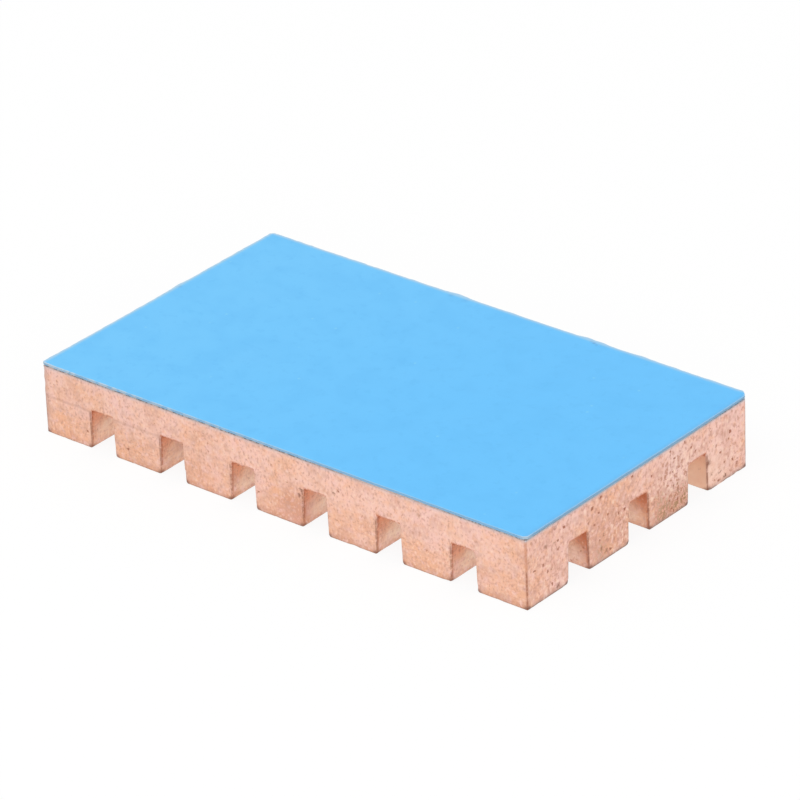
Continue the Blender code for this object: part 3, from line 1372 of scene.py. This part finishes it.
@dataclass
class CutSheet:
    """A thin sheet over the block, cut with a blade that wandered a little.

    Attributes:
        node: CAD node that the piece stands for.
        slot: Material slot of the record; not used.
        smooth_angle: Angle between faces past which an edge stays sharp.
        wander: How far the cut edge strays from its line.
        wander_length: Length of one stray.
        wander_reach: How far in from the edge the sheet strays with it.
        corners: Radius of each corner.
        sunk: How far its underside and its top lie below those of the CAD sheet.
        trim: How far its -X and +Y sides lie in from those of the CAD sheet.
        ragged: How much more its edge strays on those two sides.
        nicks: Burrs and nicks of its edge. The strength is how far one stands out, in mm.
    """

    node: str
    slot: str
    smooth_angle: float
    wander: float
    wander_length: float
    wander_reach: float
    corners: dict[Corner, float]
    sunk: Pair
    trim: Pair
    ragged: float
    nicks: tuple[Patch, ...]

    def outline(self) -> BMesh:
        """Lay out the sheet as one flat face with rounded corners, at its sunk and trimmed size.

        Returns:
            The mesh.
        """
        self.low, self.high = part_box(self.node)
        self.low.z -= self.sunk[0]
        self.high.z -= self.sunk[1]
        self.low.x += self.trim[0]
        self.high.y -= self.trim[1]
        self.size = self.high - self.low
        self.middle = 0.5 * (self.low + self.high)
        bm = bmesh.new()
        bmesh.ops.create_grid(bm, x_segments=1, y_segments=1, size=0.5)
        bmesh.ops.scale(bm, vec=Vector((self.size.x, self.size.y, 1.0)), verts=bm.verts)
        bmesh.ops.translate(
            bm, vec=Vector((self.middle.x, self.middle.y, self.low.z)), verts=bm.verts
        )
        for corner, radius in self.corners.items():
            x, y = corner.value
            tip = max(bm.verts, key=lambda vert: x * vert.co.x + y * vert.co.y)
            bmesh.ops.bevel(
                bm,
                geom=[tip],
                affect="VERTICES",
                offset=radius,
                segments=5,
                profile=0.35,
                material=-1,
            )
        return bm

    def stray(self, place: Vector) -> Vector:
        """Find the shift within the sheet that makes its edge wander.

        Args:
            place: Place on the sheet.

        Returns:
            The shift, which points out of the sheet or into it.
        """
        shift = Vector()
        wave = noise.noise(place / self.wander_length)
        wave += 0.5 * noise.noise(place / (0.3 * self.wander_length))
        for axis in (Axis.LENGTH, Axis.WIDTH):
            index = axis.value
            outward = place[index] - self.middle[index]
            inward = 0.5 * self.size[index] - abs(outward)
            fade = max(0.0, 1.0 - inward / self.wander_reach) ** 2
            if (axis is Axis.LENGTH) == (outward < 0.0):
                fade *= self.ragged
            shift[index] = math.copysign(self.wander * wave * fade, outward)
            for nick in self.nicks:
                near = max(0.0, 1.0 - (place - Vector(nick.place)).length / nick.radius)
                shift[index] += math.copysign(nick.strength * MM * near * fade, outward)
        return shift

    def cut_faces(self, bm: BMesh) -> list:
        """Faces of the sheet's cut edge, which stand upright."""
        return [face for face in bm.faces if abs(face.normal.z) < 0.5]

    def thicken(self, bm: BMesh) -> None:
        """Give the flat sheet its thickness, upward.

        Args:
            bm: The mesh.
        """
        bm.normal_update()
        up = next(iter(bm.faces)).normal.z
        bmesh.ops.solidify(bm, geom=bm.faces[:], thickness=math.copysign(self.size.z, -up))
        bmesh.ops.recalc_face_normals(bm, faces=bm.faces)


@dataclass
class AdhesiveSheet(CutSheet):
    """The thermal adhesive on the flat side of the block, of which only the torn edge shows.

    Attributes:
        finish: Finish of the adhesive.
        squeeze: How far it is squeezed out past its cut line.
        step: Length of one facet along the edge.
        levels: Where its edge is cut up the thickness, as shares of it.
    """

    node: str = "thermal_adhesive"
    slot: str = "thermal_adhesive"
    smooth_angle: float = math.radians(60.0)
    wander: float = 0.03 * MM
    wander_length: float = 0.3 * MM
    wander_reach: float = 0.3 * MM
    corners: dict[Corner, float] = field(
        default_factory=lambda: {corner: 0.2 * MM for corner in Corner}
    )
    sunk: Pair = (0.008 * MM, 0.031 * MM)
    trim: Pair = (0.0, 0.0)
    ragged: float = 1.0
    nicks: tuple[Patch, ...] = ()
    finish: FilledAdhesive = field(default_factory=FilledAdhesive)
    squeeze: float = 0.03 * MM
    step: float = 0.07 * MM
    levels: tuple[float, ...] = (0.33, 0.67)

    def build(self) -> Object:
        """Make the sheet.

        Returns:
            The piece.
        """
        bm = self.outline()
        for edge in bm.edges[:]:
            cuts = round(edge.calc_length() / self.step) - 1
            if cuts > 0:
                bmesh.ops.bisect_edges(bm, edges=[edge], cuts=cuts)
        self.thicken(bm)
        for share in self.levels:
            cut(bm, Axis.HEIGHT, self.low.z + share * self.size.z, self.cut_faces(bm))
        for vert in bm.verts:
            vert.co += self.stray(vert.co * 1.0)
            vert.co.x += math.copysign(self.squeeze, vert.co.x)
            vert.co.y += math.copysign(self.squeeze, vert.co.y)
        material = self.finish.material()
        return finish_piece(bm, "cut_adhesive_sheet", material, self.node, self.smooth_angle)


@dataclass
class ReleaseFilm(CutSheet):
    """The blue release film, which lies almost flat and lifts a little at two corners.

    Attributes:
        finish: Finish of the film.
        pitch: Size of its facets.
        pitch_slack: How near a facet's cut a point counts as on it.
        ripple: Height of its ripples.
        ripple_length: Length of a ripple.
        lift: How far each lifted corner stands up.
        lift_reach: How far in from a corner the lift starts.
    """

    node: str = "release_liner"
    slot: str = "liner_film"
    smooth_angle: float = math.radians(40.0)
    wander: float = 0.022 * MM
    wander_length: float = 0.9 * MM
    wander_reach: float = 0.5 * MM
    corners: dict[Corner, float] = field(
        default_factory=lambda: {
            Corner.LEFT: 0.06 * MM,
            Corner.FRONT: 0.15 * MM,
            Corner.RIGHT: 0.3 * MM,
            Corner.BACK: 0.12 * MM,
        }
    )
    finish: PolyesterFilm = field(default_factory=PolyesterFilm)
    pitch: float = 0.15 * MM
    pitch_slack: float = 0.02 * MM
    ripple: float = 0.005 * MM
    ripple_length: float = 1.6 * MM
    lift: dict[Corner, float] = field(
        default_factory=lambda: {Corner.LEFT: 0.02 * MM, Corner.RIGHT: 0.045 * MM}
    )
    lift_reach: float = 0.7 * MM
    sunk: Pair = (0.034 * MM, 0.0)
    trim: Pair = (0.02 * MM, 0.045 * MM)
    ragged: float = 2.0
    nicks: tuple[Patch, ...] = patches(
        (-2.1, 6.44, 2.82, 0.7, 0.05),
        (3.9, 6.44, 2.82, 0.5, 0.045),
        (4.5, 6.44, 2.82, 0.4, -0.04),
        (6.3, 6.44, 2.82, 0.4, 0.03),
        (-11.0, 1.1, 2.82, 0.4, -0.03),
    )

    def build(self) -> Object:
        """Make the film.

        Returns:
            The piece.
        """
        bm = self.outline()
        for axis in (Axis.LENGTH, Axis.WIDTH):
            cut_grid(bm, axis, self.pitch, set(), self.pitch_slack)
        for vert in bm.verts:
            place = vert.co * 1.0
            vert.co += self.stray(place)
            vert.co.z += self.ripple * noise.noise(place / self.ripple_length)
            vert.co.z += self.lifted(place)
        self.thicken(bm)
        edge_mark = bm.verts.layers.float.new("cut_edge")
        for face in self.cut_faces(bm):
            for vert in face.verts:
                vert[edge_mark] = 1.0
        material = self.finish.material()
        return finish_piece(bm, "blue_release_film", material, self.node, self.smooth_angle)

    def lifted(self, place: Vector) -> float:
        """Find how far the film stands up near its lifted corners.

        Args:
            place: Place on the sheet.

        Returns:
            The rise.
        """
        rise = 0.0
        for corner, lift in self.lift.items():
            x, y = corner.value
            away = math.hypot(
                place.x - self.middle.x - 0.5 * x * self.size.x,
                place.y - self.middle.y - 0.5 * y * self.size.y,
            )
            rise += lift * max(0.0, 1.0 - away / self.lift_reach) ** 2
        return rise


# Studio


@dataclass(frozen=True)
class SoftLamp:
    """A square softbox.

    Attributes:
        name: Its name.
        azimuth: Where it stands round the object, in degrees, with 0 in front of the long side.
        elevation: How high it stands, in degrees.
        distance: How far it is from the object.
        width: Width of its square.
        power: Its power, in watts.
    """

    name: str
    azimuth: float
    elevation: float
    distance: float
    width: float
    power: float

    def build(self) -> None:
        """Hang the lamp so that it faces the object."""
        lamp = bpy.data.lights.new(self.name, "AREA")
        lamp.shape = "SQUARE"
        lamp.size = self.width
        lamp.energy = self.power
        stand(add_object(self.name, lamp), self.azimuth, self.elevation, self.distance)


def stand(
    holder: Object,
    azimuth: float,
    elevation: float,
    distance: float,
    aim: tuple[float, float, float] = (0.0, 0.0, 0.0),
    roll: float = 0.0,
) -> None:
    """Stand a lamp or a camera where it faces a point.

    Args:
        holder: The lamp or the camera.
        azimuth: Where it stands round the point, in degrees, with 0 in front of the long side.
        elevation: How high it stands, in degrees.
        distance: How far it is from the point.
        aim: The point.
        roll: How far it is turned about its own axis, in degrees.
    """
    turn, rise = math.radians(azimuth), math.radians(elevation)
    back = Vector(
        (math.sin(turn) * math.cos(rise), -math.cos(turn) * math.cos(rise), math.sin(rise))
    )
    level = (-back).to_track_quat("-Z", "Y")
    holder.location = Vector(aim) + back * distance
    holder.rotation_mode = "QUATERNION"
    holder.rotation_quaternion = level @ Quaternion((0.0, 0.0, 1.0), math.radians(roll))


@dataclass(frozen=True)
class Studio:
    """A white table in soft light, with the camera.

    Attributes:
        paper: Finish of the table.
        table_width: Width of the table.
        table_drop: How far the table lies under the pin tips.
        ambient: Strength of the light from all round.
        lamps: The softboxes.
        aim: Point that the camera faces.
        azimuth: Where the camera stands round the object, in degrees.
        elevation: How high it stands, in degrees.
        roll: How far it is turned about its own axis, in degrees.
        distance: How far it is from the point that it faces.
        lens: Its focal length, in millimetres.
        sensor_width: Width of its sensor, in millimetres.
        nearest: Distance from it at which it starts to see.
    """

    paper: WhitePaper = field(default_factory=WhitePaper)
    table_width: float = 1200.0 * MM
    table_drop: float = 0.002 * MM
    ambient: float = 0.8
    lamps: tuple[SoftLamp, ...] = (
        SoftLamp("key_softbox", -15.0, 55.0, 400.0 * MM, 300.0 * MM, 0.31),
        SoftLamp("front_softbox", 43.0, 15.0, 400.0 * MM, 250.0 * MM, 0.5),
    )
    aim: tuple[float, float, float] = (-0.285 * MM, 0.811 * MM, 1.538 * MM)
    azimuth: float = 40.493
    elevation: float = 28.036
    roll: float = -2.44
    distance: float = 205.516 * MM
    lens: float = 259.504
    sensor_width: float = 36.0
    nearest: float = 10.0 * MM

    def build(self) -> None:
        """Set up the table, the light and the camera."""
        self.lay_table()
        self.light_room()
        for lamp in self.lamps:
            lamp.build()
        self.place_camera()

    def lay_table(self) -> None:
        """Lay the white table just under the pin tips."""
        bm = bmesh.new()
        bmesh.ops.create_grid(bm, x_segments=1, y_segments=1, size=0.5 * self.table_width)
        bmesh.ops.translate(bm, vec=Vector((0.0, 0.0, CAD_BOX[0].z - self.table_drop)), verts=bm.verts)
        table = add_object("white_table", new_mesh("white_table", bm, self.paper.material()))

    def light_room(self) -> None:
        """Light the room evenly, and show it white where the camera, metal or glass sees it."""
        world = bpy.data.worlds.new("white_room")
        world.use_nodes = True
        tree = world.node_tree
        settings = {"To Min": self.ambient, "To Max": 1.0, "Value": background_rays(tree)}
        strength = add_node(tree, "ShaderNodeMapRange", settings)
        set_up(tree.nodes["Background"], {"Color": (1.0, 1.0, 1.0, 1.0), "Strength": strength})
        bpy.context.scene.world = world
        bpy.context.scene.view_settings.view_transform = "Standard"

    def place_camera(self) -> None:
        """Place the camera at the photograph's angle."""
        data = bpy.data.cameras.new("camera")
        data.sensor_width = self.sensor_width
        data.lens = self.lens
        data.clip_start = self.nearest
        camera = add_object("camera", data)
        stand(camera, self.azimuth, self.elevation, self.distance, self.aim, self.roll)
        bpy.context.scene.camera = camera


def main() -> None:
    """Build each piece of the heat sink and the studio round it."""
    log.info("frame: %d nodes", len(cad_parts))
    for part in (CopperBlock(), AdhesiveSheet(), ReleaseFilm()):
        piece = part.build()
        log.info("built %s", piece.name)
    Studio().build()


if __name__ == "__main__":
    logging.basicConfig(level=logging.INFO, format="%(name)s: %(message)s")
    main()
